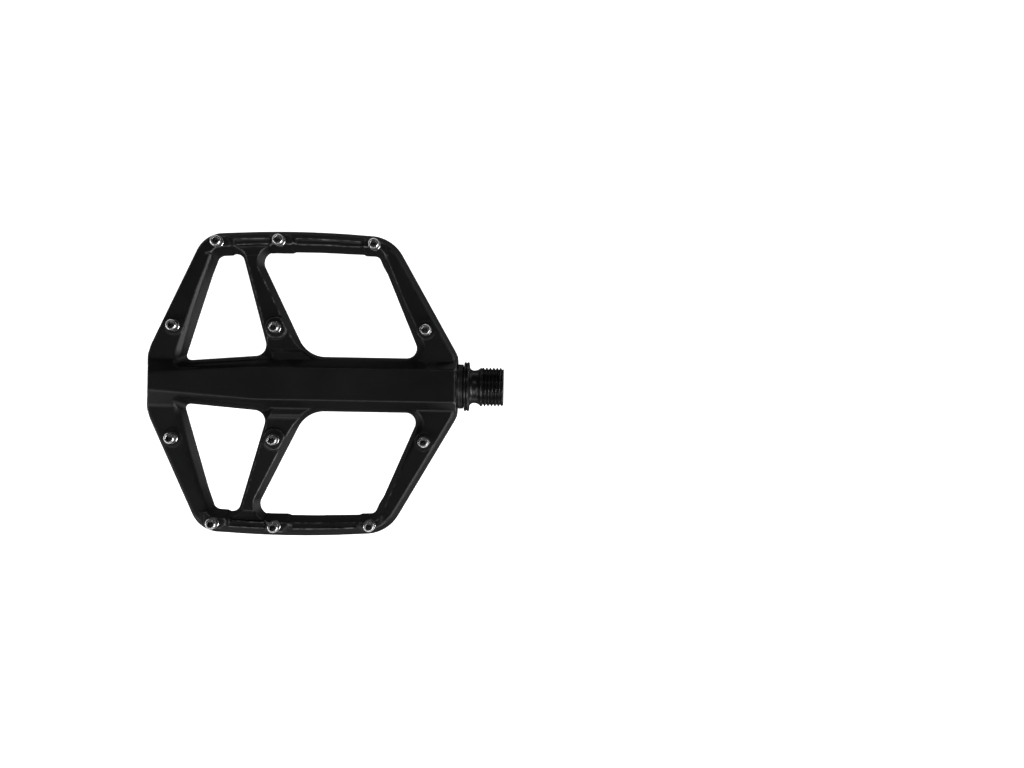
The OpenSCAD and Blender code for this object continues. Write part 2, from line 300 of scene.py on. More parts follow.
def housing(x, a, h):
    """The ridge over the spindle: flat on top, narrower outboard, with sloping flanks."""
    taper = np.clip((RIDGE_TAPER_X - x) / (HALF_L + RIDGE_TAPER_X), 0, 1)
    width = RIDGE_W + (RIDGE_TIP_W - RIDGE_W) * taper
    drop = RIDGE_Z - TREAD_Z + 0.1
    run = FLANK_FOOT - width
    flank = ((a - width) * drop + (h - RIDGE_Z) * run) / np.hypot(drop, run)
    side = plane(a - FLANK_FOOT - FLANK_FOOT_SLOPE * TREAD_Z, h, FLANK_FOOT_SLOPE)
    return intersect(h - RIDGE_Z, flank, side, k=SOFT_ROUND)


def cage_field(points):
    """Signed distance to the cage, near enough: negative in metal."""
    x = points[:, 0]
    a, h = np.abs(points[:, 1]), np.abs(points[:, 2])
    xa = np.stack([x, a], axis=1)
    outline = rounded_distance(np.stack([x, points[:, 1]], axis=1), OUTLINE)
    inboard = rounded_distance(xa, INBOARD_WINDOW)
    inward = -outline
    tread = tread_height(a)

    # the bevel round the rim is deeper and flatter on the beams
    on_beam = step_up(a, *BEAM_BLEND)
    edge_drop = 0.6 + 0.9 * on_beam
    edge_slope = 1 - 0.25 * on_beam
    rim = h - (tread - edge_drop) - edge_slope * (inward - OUTER_DRAFT * (tread - edge_drop))
    rim = rim / np.hypot(1, edge_slope)
    wall = plane(outline, h, OUTER_DRAFT)

    plate = intersect(h - tread, rim)
    for pocket in (OUTBOARD_POCKET, INBOARD_POCKET):
        chamfer = h - tread - CHAMFER_SLOPE * rounded_distance(xa, pocket)
        plate = smooth_max(plate, chamfer / math.hypot(1, CHAMFER_SLOPE))
    plate = smooth_max(plate, -beam_channels(x, h, inward, tread))
    plate = smooth_max(plate, -strut_recess(x, a, h))
    plate = smooth_min(plate, pin_pads(x, a, h), SOFT_ROUND)
    plate = smooth_min(plate, beam_lugs(x, a, h, inward), LUG_FILLET)
    plate = smooth_max(plate, wall)

    end_inset, end_bevel = 0.4, 0.7
    ridge = smooth_max(housing(x, a, h), plane(-HALF_L - x, h, OUTER_DRAFT), END_ROUND)
    ridge = smooth_max(ridge, (x - HALF_L + end_inset + np.maximum(h - RIDGE_Z + end_bevel, 0)), 0.3)
    bite = rounded_distance(xa, FLANK_POCKET)
    bite_slope = np.where(bite > 0, BITE_SLOPE, CHAMFER_SLOPE)
    ridge = smooth_max(ridge, (h - tread - bite_slope * bite) / BITE_SCALE, END_ROUND)
    solid = smooth_min(plate, ridge, HOUSING_FILLET)

    beside_lug = sum(1 - step_up(np.abs(x - p[0]), *LUG_BULGE_X) for p in BEAM_PINS)
    bulge = LUG_BULGE * beside_lug * step_up(a, *LUG_BULGE_A)
    # the walls are steeper beside the spindle housing than elsewhere
    past_housing = step_up(a, *HOUSING_BLEND)
    outboard = rounded_distance(xa, WINDOW_PAST_ARM)
    outboard_draft = STEEP_OUTBOARD + (WINDOW_DRAFT - STEEP_OUTBOARD) * past_housing
    inboard_draft = STEEP_INBOARD + (WINDOW_DRAFT - STEEP_INBOARD) * past_housing
    arm_wall = plane(line_distance(xa, *ARM_SIDE), -h, np.interp(a, ARM_DRAFT_AT, ARM_DRAFT))
    outboard_opening = round_max(plane(outboard + bulge, -h, outboard_draft), arm_wall, ARM_CORNER)
    inboard_opening = plane(inboard + bulge, -h, inboard_draft)
    solid = smooth_max(solid, -outboard_opening)
    solid = smooth_max(solid, -inboard_opening)
    return smooth_max(solid, -bore_field(points), BORE_ROUND)


def bore_field(points):
    """The stepped bore along the spindle, which the cap, bearings, bushing and seal sit in."""
    x, r = points[:, 0], np.hypot(points[:, 1], points[:, 2])
    field = np.full(len(x), FAR)
    for start, end, radius in BORE:
        field = np.minimum(field, np.maximum(np.maximum(start - x, x - end), r - radius))
    return field


MIDDLE_BORE_R = 5.9      # bore between the bearings and the bushing
SEAL_NECK_R = 7.3        # the part of the lip seal that is pressed into the cage


def bore_steps():
    """Each step of the bore as start, end and radius, from the parts that sit in it."""
    cap_high = box_mm("end_cap")[1]
    ring_high = box_mm("end_cap_oring")[1]
    race_high = box_mm("bearing_1_outer_race")[1]
    bushing_low, bushing_high = box_mm("inboard_bushing")
    seal_low = box_mm("lip_seal")[0]
    # a step that opens at an end of the cage runs past it
    out, inn = CAGE_LOW[0] - 2, CAGE_HIGH[0] + 2
    steps = [
        (out, ring_high[0], cap_high[1]),
        (out, race_high[0], race_high[1]),
        (out, inn, MIDDLE_BORE_R),
        (bushing_low[0] - 0.2, inn, bushing_high[1]),
        (seal_low[0] - 0.2, inn, SEAL_NECK_R)]
    return [(start - CAGE_MID_X, end - CAGE_MID_X, radius) for start, end, radius in steps]


BORE = bore_steps()


def gradient(field, points, eps=0.02):
    """The slope of a field along each axis."""
    steps = np.eye(3) * eps
    return np.stack([field(points + s) - field(points - s) for s in steps], axis=1) / (2 * eps)


def normals_of(field, points):
    """The outward unit normal at each point."""
    g = gradient(field, points)
    return g / np.maximum(np.linalg.norm(g, axis=1, keepdims=True), 1e-9)


ROOT_ROUNDS = 4          # steps towards the place where an edge of the grid crosses the surface
PULL_TO_MIDDLE = 0.04    # how strongly a vertex stays at the middle of its cell's crossings
PROJECT_ROUNDS = 3       # steps that bring each vertex onto the surface
LONGEST_STEP = 0.3       # the longest of those steps, in cells
LOWEST_SLOPE = 0.05      # keeps those steps finite where the field is flat


def dual_contour(field, low, high, step):
    """A closed mesh of the surface field = 0, with a vertex on each crease. Returns points and quads."""
    counts = np.ceil((high - low) / step).astype(int) + 1
    axes = [low[i] + step * np.arange(counts[i]) for i in range(3)]
    grid = np.stack(np.meshgrid(*axes, indexing="ij"), axis=-1)
    values = field(grid.reshape(-1, 3)).reshape(counts)
    cells = counts - 1
    crossings, normals, owners, quads = [], [], [], []
    for axis in range(3):
        lower = [slice(None)] * 3
        upper = [slice(None)] * 3
        lower[axis], upper[axis] = slice(0, -1), slice(1, None)
        va, vb = values[tuple(lower)], values[tuple(upper)]
        # the edges of the grid along this axis that cross the surface
        index = np.argwhere((va < 0) != (vb < 0))
        u, v = (axis + 1) % 3, (axis + 2) % 3
        inside = np.all((index[:, [u, v]] > 0) & (index[:, [u, v]] < counts[[u, v]] - 1), axis=1)
        index = index[inside]
        fa, fb = va[tuple(index.T)], vb[tuple(index.T)]
        point = low + step * index.astype(float)
        t_low, t_high = np.zeros(len(index)), np.ones(len(index))
        t = fa / (fa - fb)
        for _ in range(ROOT_ROUNDS):
            probe = point.copy()
            probe[:, axis] += t * step
            f = field(probe)
            same = (f < 0) == (fa < 0)
            t_low = np.where(same, t, t_low)
            t_high = np.where(same, t_high, t)
            t = np.clip(t - f / (fb - fa), t_low, t_high)
        probe = point.copy()
        probe[:, axis] += t * step
        # the four cells round each of those edges, whose vertices make one quad
        around = []
        for du, dv in ((-1, -1), (0, -1), (0, 0), (-1, 0)):
            cell = index.copy()
            cell[:, u] += du
            cell[:, v] += dv
            around.append(np.ravel_multi_index(cell.T, cells))
        around = np.stack(around, axis=1)
        rising = fb > fa
        quads.append(np.where(rising[:, None], around, around[:, ::-1]))
        crossings.append(probe)
        normals.append(normals_of(field, probe))
        owners.append(around)
    # each cell's vertex is where the planes through its crossings meet, by least squares
    crossings, normals = np.concatenate(crossings), np.concatenate(normals)
    owners, quads = np.concatenate(owners), np.concatenate(quads)
    active, owner = np.unique(owners, return_inverse=True)
    owner = owner.reshape(owners.shape)
    n = len(active)
    count = np.bincount(owner.ravel(), minlength=n).astype(float)
    middle = np.stack([np.bincount(owner.ravel(), np.repeat(crossings[:, i], 4), n) for i in range(3)], 1)
    middle /= count[:, None]
    ata = np.zeros((n, 3, 3))
    atb = np.zeros((n, 3))
    for corner in range(4):
        cell = owner[:, corner]
        offset = np.einsum("ij,ij->i", normals, crossings - middle[cell])
        for i in range(3):
            atb[:, i] += np.bincount(cell, normals[:, i] * offset, n)
            for j in range(3):
                ata[:, i, j] += np.bincount(cell, normals[:, i] * normals[:, j], n)
    ata += np.eye(3) * PULL_TO_MIDDLE * count[:, None, None]
    vertex = middle + np.linalg.solve(ata, atb[:, :, None])[:, :, 0]
    # and it stays in its cell, or just outside it
    corner_low = low + step * np.stack(np.unravel_index(active, cells), axis=1)
    vertex = np.clip(vertex, corner_low - 0.1 * step, corner_low + 1.1 * step)
    for _ in range(PROJECT_ROUNDS):
        g = gradient(field, vertex)
        f = field(vertex)
        move = -f[:, None] * g / np.maximum(np.sum(g * g, axis=1, keepdims=True), LOWEST_SLOPE)
        length = np.linalg.norm(move, axis=1, keepdims=True)
        vertex += move * np.minimum(1, LONGEST_STEP * step / np.maximum(length, 1e-9))
    return vertex, np.searchsorted(active, quads)


def quad_piece(name, points, faces, normals):
    """A smooth piece from quads, with a normal for each point. Points are about the middle of the cage."""
    mesh = bpy.data.meshes.new(name)
    points = (np.asarray(points) + TO_ROW) * MM
    mesh.vertices.add(len(points))
    mesh.vertices.foreach_set("co", points.astype(np.float32).ravel())
    mesh.loops.add(faces.size)
    mesh.loops.foreach_set("vertex_index", faces.ravel().astype(np.int32))
    mesh.polygons.add(len(faces))
    mesh.polygons.foreach_set("loop_start", np.arange(0, faces.size, 4, dtype=np.int32))
    mesh.polygons.foreach_set("loop_total", np.full(len(faces), 4, dtype=np.int32))
    mesh.update(calc_edges=True)
    mesh.validate()
    mesh.polygons.foreach_set("use_smooth", np.full(len(mesh.polygons), True))
    mesh.normals_split_custom_set_from_vertices(normals.tolist())
    piece = bpy.data.objects.new(name, mesh)
    bpy.context.scene.collection.objects.link(piece)
    return piece


def curvature(field, points, reach):
    """How convex the surface is within a reach of each point: 0 on a flat face, about 1 on an edge."""
    total = -6 * field(points)
    for step in np.eye(3) * reach:
        total += field(points + step) + field(points - step)
    return np.clip(total / reach, 0, 1)


def make_cage():
    """The forged cage, meshed from its field, with its edges marked for the painted highlight along them."""
    grid_step = 0.56
    margin, off_grid = 1.0, 0.13
    edge_highlight_reach = 0.35
    half = np.array([HALF_L, HALF_W, RIDGE_Z])
    # an odd offset keeps the grid off the planes of symmetry
    low, high = -half - margin - off_grid, half + margin
    points, quads = dual_contour(cage_field, low, high, grid_step)
    piece = quad_piece("forged_cage", points, quads, normals_of(cage_field, points))
    edge = piece.data.attributes.new("edge", "FLOAT", "POINT")
    edge.data.foreach_set("value", curvature(cage_field, points, edge_highlight_reach).astype(np.float32))
    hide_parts("cage")
    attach(piece, "cage_body")
    piece.data.materials.append(MATERIALS["anodised_black"])


# ---- materials ----
def set_stops(ramp, stops):
    """Fill a colour ramp node: stops are (position, grey or colour)."""
    elements = ramp.color_ramp.elements
    while len(elements) < len(stops):
        elements.new(0.5)
    for element, (position, colour) in zip(elements, stops):
        element.position = position
        grey = isinstance(colour, (int, float))
        element.color = (colour, colour, colour, 1) if grey else (*colour, 1)


class Nodes:
    """A short way to build a node material."""

    def __init__(self, name, colour, metallic, roughness, **sockets):
        self.material = bpy.data.materials.new(name)
        self.material.use_nodes = True
        self.tree = self.material.node_tree
        self.shader = self.tree.nodes["Principled BSDF"]
        self.shader.inputs["Base Color"].default_value = (*colour, 1)
        self.shader.inputs["Metallic"].default_value = metallic
        self.shader.inputs["Roughness"].default_value = roughness
        for socket, value in sockets.items():
            self.shader.inputs[socket.replace("_", " ")].default_value = value
        self.place = self.tree.nodes.new("ShaderNodeTexCoord").outputs["Object"]

    def link(self, output, target):
        """Join an output to an input."""
        self.tree.links.new(output, target)

    def noise(self, scale, detail=3, stretch=None, rough=0.5):
        """Noise in object space, with scale in waves a metre, and stretched along an axis where asked."""
        node = self.tree.nodes.new("ShaderNodeTexNoise")
        node.inputs["Scale"].default_value = scale
        node.inputs["Detail"].default_value = detail
        node.inputs["Roughness"].default_value = rough
        source = self.place
        if stretch:
            mapping = self.tree.nodes.new("ShaderNodeMapping")
            mapping.inputs["Scale"].default_value = stretch
            self.link(source, mapping.inputs["Vector"])
            source = mapping.outputs["Vector"]
        self.link(source, node.inputs["Vector"])
        return node.outputs["Fac"]

    def attribute(self, name):
        """A value that the mesh carries at each point."""
        node = self.tree.nodes.new("ShaderNodeAttribute")
        node.attribute_name = name
        return node.outputs["Fac"]

    def ramp(self, source, *stops):
        """A value or colour ramp: stops are (position, grey or colour)."""
        node = self.tree.nodes.new("ShaderNodeValToRGB")
        set_stops(node, stops)
        self.link(source, node.inputs["Fac"])
        return node.outputs["Color"]

    def maths(self, operation, a, b):
        """The result of an operation on two values, each an output or a number."""
        node = self.tree.nodes.new("ShaderNodeMath")
        node.operation = operation
        for socket, value in zip(node.inputs, (a, b)):
            if isinstance(value, (int, float)):
                socket.default_value = value
            else:
                self.link(value, socket)
        return node.outputs["Value"]

    def bump(self, source, distance, strength=1.0):
        """Bump of a real depth, in millimetres."""
        node = self.tree.nodes.new("ShaderNodeBump")
        node.inputs["Distance"].default_value = distance * MM
        node.inputs["Strength"].default_value = strength
        self.link(source, node.inputs["Height"])
        self.link(node.outputs["Normal"], self.shader.inputs["Normal"])

    def colour(self, source):
        """Use an output as the base colour."""
        self.link(source, self.shader.inputs["Base Color"])

    def roughness(self, source):
        """Use an output as the roughness."""
        self.link(source, self.shader.inputs["Roughness"])


def anodised_black():
    """Bead-blasted, black anodised aluminium: fine grain, and edges a little smoother and paler, the paleness
    a painted highlight.
    """
    m = Nodes("anodised_black", (0.004, 0.004, 0.0045), 0.0, 0.4, Specular_IOR_Level=0.3)
    grain = m.noise(5200, 2, rough=0.6)
    cloud = m.noise(60, 4)
    # painted highlight: the rounded edges are paler in colour, standing in for the light lines that they
    # catch
    edge_highlight = m.maths("MULTIPLY", m.attribute("edge"), m.ramp(m.noise(420, 4), (0.3, 0.35), (0.7, 1.0)))
    m.colour(m.ramp(
        edge_highlight, (0.12, (0.0025, 0.0025, 0.0028)), (0.4, (0.014, 0.014, 0.0145)), (0.8, (0.14, 0.14, 0.145))))
    matt = m.ramp(cloud, (0.3, 0.37), (0.7, 0.46))
    m.roughness(m.maths("SUBTRACT", matt, m.maths("MULTIPLY", edge_highlight, 0.08)))
    m.bump(grain, 0.012, 0.35)
    return m.material


def pin_steel():
    """Bright turned steel with a few duller specks, and painted shade darkening the key sockets."""
    m = Nodes("pin_steel", (0.72, 0.72, 0.73), 1.0, 0.22)
    specks = m.noise(1500, 4)
    steel = m.ramp(specks, (0.28, (0.6, 0.6, 0.61)), (0.45, (0.74, 0.74, 0.75)), (0.8, (0.8, 0.8, 0.81)))
    # painted shade: the key sockets' colour is darkened, standing in for the shade deep in them
    socket_shade = m.attribute("socket_shade")
    shaded_socket = m.tree.nodes.new("ShaderNodeMixRGB")
    shaded_socket.inputs["Color2"].default_value = (0.13, 0.13, 0.132, 1)
    m.link(socket_shade, shaded_socket.inputs["Fac"])
    m.link(steel, shaded_socket.inputs["Color1"])
    m.colour(shaded_socket.outputs["Color"])
    dull = m.ramp(m.noise(900, 3), (0.3, 0.19), (0.75, 0.27))
    m.roughness(m.maths("ADD", dull, m.maths("MULTIPLY", socket_shade, 0.3)))
    m.bump(m.noise(2600, 2), 0.002, 0.3)
    return m.material


def spindle_steel():
    """Black-oxide chromoly steel with an oily sheen and fine turning marks round its axis."""
    m = Nodes("spindle_steel", (0.02, 0.02, 0.021), 0.75, 0.27)
    marks = m.noise(1400, 3, (9, 0.6, 0.6))
    m.colour(m.ramp(m.noise(260, 4), (0.3, (0.018, 0.018, 0.019)), (0.75, (0.045, 0.044, 0.043))))
    m.roughness(m.ramp(marks, (0.3, 0.2), (0.7, 0.34)))
    m.bump(marks, 0.01, 0.5)
    return m.material


def black_rubber():
    """Matt nitrile rubber, with a fine moulded grain."""
    m = Nodes("black_rubber", (0.014, 0.014, 0.014), 0.0, 0.5)
    m.colour(m.ramp(m.noise(300, 4), (0.3, (0.010, 0.010, 0.010)), (0.75, (0.022, 0.022, 0.021))))
    m.roughness(m.ramp(m.noise(800, 3), (0.3, 0.34), (0.7, 0.5)))
    m.bump(m.noise(3500, 2), 0.02, 0.4)
    return m.material


def seal_rubber():
    """The bearing shields: blue-black rubber, smoother than the lip seal."""
    m = Nodes("bearing_seal_rubber", (0.02, 0.022, 0.028), 0.0, 0.45)
    m.roughness(m.ramp(m.noise(900, 3), (0.3, 0.38), (0.7, 0.5)))
    m.bump(m.noise(4000, 2), 0.01, 0.4)
    return m.material


def ground_steel():
    """Ground and polished bearing steel."""
    m = Nodes("bearing_steel", (0.62, 0.62, 0.64), 1.0, 0.16)
    marks = m.noise(1800, 3, (8, 0.7, 0.7))
    m.roughness(m.ramp(marks, (0.3, 0.1), (0.7, 0.24)))
    m.bump(marks, 0.005, 0.4)
    return m.material


def plated_steel():
    """Zinc-plated steel: pale, slightly mottled."""
    m = Nodes("plated_steel", (0.6, 0.61, 0.62), 1.0, 0.3)
    mottle = m.noise(500, 4)
    m.colour(m.ramp(mottle, (0.3, (0.5, 0.51, 0.53)), (0.7, (0.68, 0.68, 0.69))))
    m.roughness(m.ramp(mottle, (0.3, 0.24), (0.7, 0.38)))
    m.bump(m.noise(2400, 2), 0.008, 0.4)
    return m.material


def cage_brass():
    """Pressed brass of the ball cages."""
    m = Nodes("cage_brass", (0.62, 0.42, 0.16), 1.0, 0.32)
    tone = m.noise(600, 4)
    m.colour(m.ramp(tone, (0.3, (0.5, 0.32, 0.11)), (0.7, (0.7, 0.5, 0.22))))
    m.roughness(m.ramp(tone, (0.3, 0.25), (0.7, 0.4)))
    m.bump(m.noise(3000, 2), 0.006, 0.4)
    return m.material


def bushing_polymer():
    """Filled bearing polymer: tan, with fine dark flecks."""
    m = Nodes("bushing_polymer", (0.5, 0.4, 0.22), 0.0, 0.5)
    m.colour(m.ramp(
        m.noise(3200, 3), (0.32, (0.22, 0.17, 0.1)), (0.46, (0.52, 0.42, 0.25)), (0.8, (0.58, 0.48, 0.3))))
    m.bump(m.noise(2500, 2), 0.01, 0.4)
    return m.material


def nylon():
    """The blue-white nylon ring of the lock nut."""
    m = Nodes("nylon", (0.75, 0.8, 0.86), 0.0, 0.4, Subsurface_Weight=0.15)
    m.colour(m.ramp(m.noise(700, 3), (0.3, (0.66, 0.72, 0.8)), (0.7, (0.8, 0.84, 0.88))))
    m.bump(m.noise(2500, 2), 0.01, 0.3)
    return m.material


MATERIALS = {
    "anodised_black": anodised_black(), "pin_steel": pin_steel(), "spindle_steel": spindle_steel(),
    "black_rubber": black_rubber(), "bearing_seal_rubber": seal_rubber(), "bearing_steel": ground_steel(),
    "plated_steel": plated_steel(), "cage_brass": cage_brass(), "bushing_polymer": bushing_polymer(),
    "nylon": nylon()}


# The slot of each CAD node, by how its name starts, or how it ends for a key with an underscore in front.
# The first key that fits counts.
SLOT_OF = [
    ("pins_", "pin_steel"), ("cage", "anodised_black"), ("end_cap_oring", "black_rubber"),
    ("end_cap", "anodised_black"), ("spindle", "spindle_steel"), ("lip_seal", "black_rubber"),
    ("inboard_bushing", "bushing_polymer"), ("lock_nut_insert", "nylon"), ("lock_nut", "plated_steel"),
    ("nut_washer", "plated_steel"), ("_ball_cage", "cage_brass"), ("_seals", "bearing_seal_rubber"),
    ("_race", "bearing_steel"), ("_balls", "bearing_steel"), ("_spacer", "bearing_steel")]


def slot_of(name):
    """The slot of the CAD node of that name."""
    for key, slot in SLOT_OF:
        if name.startswith(key) or (key[0] == "_" and name.endswith(key)):
            return slot
    raise KeyError(name)


def dress_cad_nodes():
    """Each CAD node that stays gets the material of its slot in the record."""
    for name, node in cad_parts.items():
        slot = slot_of(name)
        node.data.materials.clear()
        node.data.materials.append(MATERIALS[slot])


# ---- turned pieces ----
def hexagon(across_flats):
    """Radius of a hexagon at each angle."""
    return lambda angle: across_flats / 2 / np.cos((angle + math.pi / 6) % (math.pi / 3) - math.pi / 6)


def lathe(rings, segments):
    """Points and faces of a solid of rings (height, radius), with both ends closed.

    A radius is a number, or a function of the angle. The two points after the rings' own close the ends.
    """
    angle = np.arange(segments) * 2 * math.pi / segments
    points, faces = [], []
    for height, radius in rings:
        r = radius(angle) if callable(radius) else np.full(segments, float(radius))
        points.append(np.stack([r * np.cos(angle), r * np.sin(angle), np.full(segments, float(height))], 1))
    for i in range(len(rings) - 1):
        a, b = i * segments, (i + 1) * segments
        for j in range(segments):
            k = (j + 1) % segments
            faces.append((a + j, a + k, b + k, b + j))
    count = len(rings) * segments
    points.append(np.array([[0, 0, rings[0][0]], [0, 0, rings[-1][0]]], float))
    last = (len(rings) - 1) * segments
    for j in range(segments):
        k = (j + 1) % segments
        faces.append((count, k, j))
        faces.append((count + 1, last + j, last + k))
    return np.concatenate(points), faces


def along_x(points):
    """Turn points made about Z so that their axis is +X."""
    return np.stack([points[:, 2], points[:, 0], points[:, 1]], axis=1)


def small_piece(name, points, faces, sharp=32):
    """A piece that is smooth but for edges above an angle. Points are in millimetres in the frame."""
    mesh = bpy.data.meshes.new(name)
    mesh.from_pydata([tuple(p) for p in np.asarray(points) * MM], [], [tuple(f) for f in faces])
    mesh.update()
    mesh.shade_smooth()
    mesh.set_sharp_from_angle(angle=math.radians(sharp))
    piece = bpy.data.objects.new(name, mesh)
    bpy.context.scene.collection.objects.link(piece)
    return piece


def arc(centre, radius, start, end, count):
    """Points (height, radius) on an arc. The angles are in degrees, from growing radius to growing height."""
    angles = np.radians(np.linspace(start, end, count))
    return [(centre[0] + radius * math.sin(t), centre[1] + radius * math.cos(t)) for t in angles]


PIN_SEGMENTS = 36
SOCKET_RINGS = 3         # how many of the last rings of a pin are inside its key socket


def pin_rings(length, height):
    """One traction pin: threaded end below 0, round shank, and a bevelled tip with a key socket."""
    shank, root, pitch = 1.98, 1.62, 0.7
    tip, bevel = 1.5, 0.42
    key, depth = 2.0, 2.0
    rings = [(-length, 0.01), (-length, root - 0.07)]
    turns = int((length - 0.6) / pitch)
    for i in range(turns):
        z = -length + pitch / 2 + pitch * i
        rings += [(z, root), (z + 0.3, shank), (z + 0.4, shank)]
    rings += [(-0.1, root), (0, root), (0, PIN_COLLAR_R - 0.06), (0.06, PIN_COLLAR_R), (0.84, PIN_COLLAR_R),
              (0.9, PIN_COLLAR_R - 0.06), (0.95, shank)]
    rings += [(height - bevel - 0.05, shank), (height - bevel + 0.02, shank - 0.04)]
    rings += [(height - 0.05, tip + 0.07), (height - 0.01, tip + 0.02), (height, tip - 0.03)]
    rings += [(height, hexagon(key + 0.25)), (height - 0.12, hexagon(key)), (height - depth, hexagon(key)),
              (height - depth - 0.35, 0.02)]
    return rings


def make_pins():
    """The pins of each CAD node, as one piece that replaces it."""
    for node in PIN_NODES:
        points, faces, socket_shade = [], [], []
        side = 1 if node.startswith("pins_upper") else -1
        for turn, (x, y, tip) in enumerate(pin_places(node)):
            pin, pin_faces = lathe(pin_rings(PIN_L, PIN_H), PIN_SEGMENTS)
            # the painted shade is on the socket's rings, and on the point that closes its bottom
            inside = np.zeros(len(pin))
            inside[-2 - SOCKET_RINGS * PIN_SEGMENTS:-2] = 1
            inside[-1] = 1
            socket_shade.append(inside)
            # each pin was screwed in until tight, so each key socket sits at its own angle
            spin = 0.55 * turn + 0.3 * side + x * 0.21
            c, s = math.cos(spin), math.sin(spin)
            turned = np.stack([pin[:, 0] * c - pin[:, 1] * s, pin[:, 0] * s + pin[:, 1] * c,
                               (pin[:, 2] + (tip - PIN_H)) * side], axis=1)
            if side < 0:
                pin_faces = [f[::-1] for f in pin_faces]
            start = sum(len(q) for q in points)
            points.append(turned + TO_ROW + np.array([x, y, 0]))
            faces += [tuple(i + start for i in f) for f in pin_faces]
        piece = small_piece(node.replace("pins", "traction_pins"), np.concatenate(points), faces)
        socket_shade_layer = piece.data.attributes.new("socket_shade", "FLOAT", "POINT")
        socket_shade_layer.data.foreach_set("value", np.concatenate(socket_shade).astype(np.float32))
        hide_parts(node)
        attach(piece, "cage_body")
        piece.data.materials.append(MATERIALS["pin_steel"])


def thread_rings(start, end, major, pitch, depth, hand, per_turn=10):
    """Rings of a screw thread, as (height, radius function). hand is -1 for a left-hand thread."""
    half_root, flank_run = 0.07, 0.36    # shares of the pitch
    rings = []
    count = int(round((end - start) / pitch * per_turn))
    for i in range(count + 1):
        z = start + (end - start) * i / count

        def radius(angle, z=z):
            phase = (z / pitch - hand * angle / (2 * math.pi)) % 1
            flank = np.clip((np.abs(phase - 0.5) - half_root) / flank_run, 0, 1)
            fade = min(1.0, (z - start) / (0.6 * pitch))
            chamfer = max(0.0, z - (end - THREAD_END)) * THREAD_END_SLOPE
            return np.minimum(major - depth * (1 - flank) * fade, major - chamfer)

        rings.append((z, radius))
    return rings


def make_spindle():
    """The turned spindle: journals, shoulder, waisted neck, left-hand thread and key socket."""
    low, high = box_mm("spindle")
    tip, end, shoulder = low[0], high[0], high[1]
    washer = box_mm("nut_washer")[1][0]
    bearing = box_mm("bearing_1_outer_race")[1][0]
    bushing = box_mm("inboard_bushing")[0][0]
    nut_r, bearing_r, middle_r, bushing_r = 2.5, 3.0, 4.0, 6.0
    rings = [(tip, 0.01), (tip, nut_r - 0.5), (tip + 0.5, nut_r), (washer, nut_r), (washer, bearing_r),
             (bearing, bearing_r), (bearing, middle_r), (bearing + 4, middle_r),
             (bushing - 0.4, bushing_r - 0.6), (bushing, bushing_r), (-1.8, bushing_r)]
    # the shoulder, with a groove round it
    rings += [(-1.8, shoulder - 0.2), (-1.62, shoulder), (-1.2, shoulder), (-1.02, shoulder - 0.3),
              (-0.9, shoulder - 0.4), (-0.78, shoulder - 0.3), (-0.62, shoulder), (-0.2, shoulder),
              (0, shoulder - 0.2)]
    neck_r, neck_end, hollow = 6.02, 4.15, 1.75
    rings += [(0.0, neck_r + hollow + 0.53)]
    rings += arc((hollow, neck_r + hollow), hollow, 270, 180, 8)
    rings += [(2.4, neck_r + 0.04), (3.0, neck_r + 0.2), (3.5, neck_r + 0.45), (3.9, neck_r + 0.75),
              (neck_end, THREAD_R - 0.06)]
    thread_depth, left_hand = 0.74, -1
    rings += thread_rings(neck_end + 0.05, end, THREAD_R, THREAD_PITCH, thread_depth, left_hand)
    face = THREAD_R - THREAD_END * THREAD_END_SLOPE
    key, depth, point = 8, 7.6, 1.8      # the key socket, and the cone that its drill left
    rings += [(end, face - 0.5), (end, hexagon(key + 0.5)), (end - 0.25, hexagon(key)),
              (end - depth, hexagon(key)), (end - depth, key / 2 - 0.1), (end - depth - point, 0.02)]
    points, faces = lathe(rings, 96)
    piece = small_piece("turned_spindle", along_x(points), faces, 40)
    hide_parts("spindle")
    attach(piece, "spindle_body")
    piece.data.materials.append(MATERIALS["spindle_steel"])


def tube(rings, segments=96):
    """Points and faces of a ring-shaped solid from a closed section of (height, radius)."""
    angle = np.arange(segments) * 2 * math.pi / segments
    points = np.concatenate([
        np.stack([r * np.cos(angle), r * np.sin(angle), np.full(segments, float(z))], 1) for z, r in rings])
    faces = []
    for i in range(len(rings)):
        a, b = i * segments, (i + 1) % len(rings) * segments
        for j in range(segments):
            k = (j + 1) % segments
            faces.append((a + j, a + k, b + k, b + j))
    return points, faces


def make_seal():
    """The rubber lip seal, with fine ribs on the part that shows."""
    low, high = box_mm("lip_seal")
    lip, inner = high[1], 6.06
    face = CAGE_HIGH[0]
    rings = [(low[0], inner), (low[0], SEAL_NECK_R - 0.2), (low[0] + 0.2, SEAL_NECK_R),
             (face + 0.02, SEAL_NECK_R), (face + 0.02, lip - 0.15)]
    rib_height, groove = 0.2, 0.14
    z = face + 0.16
    for width in (0.5, 0.26, 0.26):
        rings += [(z, lip - 0.08), (z + 0.08, lip), (z + width - 0.06, lip), (z + width, lip - rib_height),
                  (z + width + groove, lip - rib_height)]
        z += width + groove + 0.02
    rings += [(z, lip - 0.1), (z + 0.1, lip - 0.02), (high[0] - 0.12, lip - 0.3), (high[0], lip - 0.55),
              (high[0], inner + 0.4), (high[0] - 0.3, inner)]
    points, faces = tube(rings)
    piece = small_piece("ribbed_lip_seal", along_x(points), faces, 40)
    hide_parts("lip_seal")
    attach(piece, "cage_body")
    piece.data.materials.append(MATERIALS["black_rubber"])


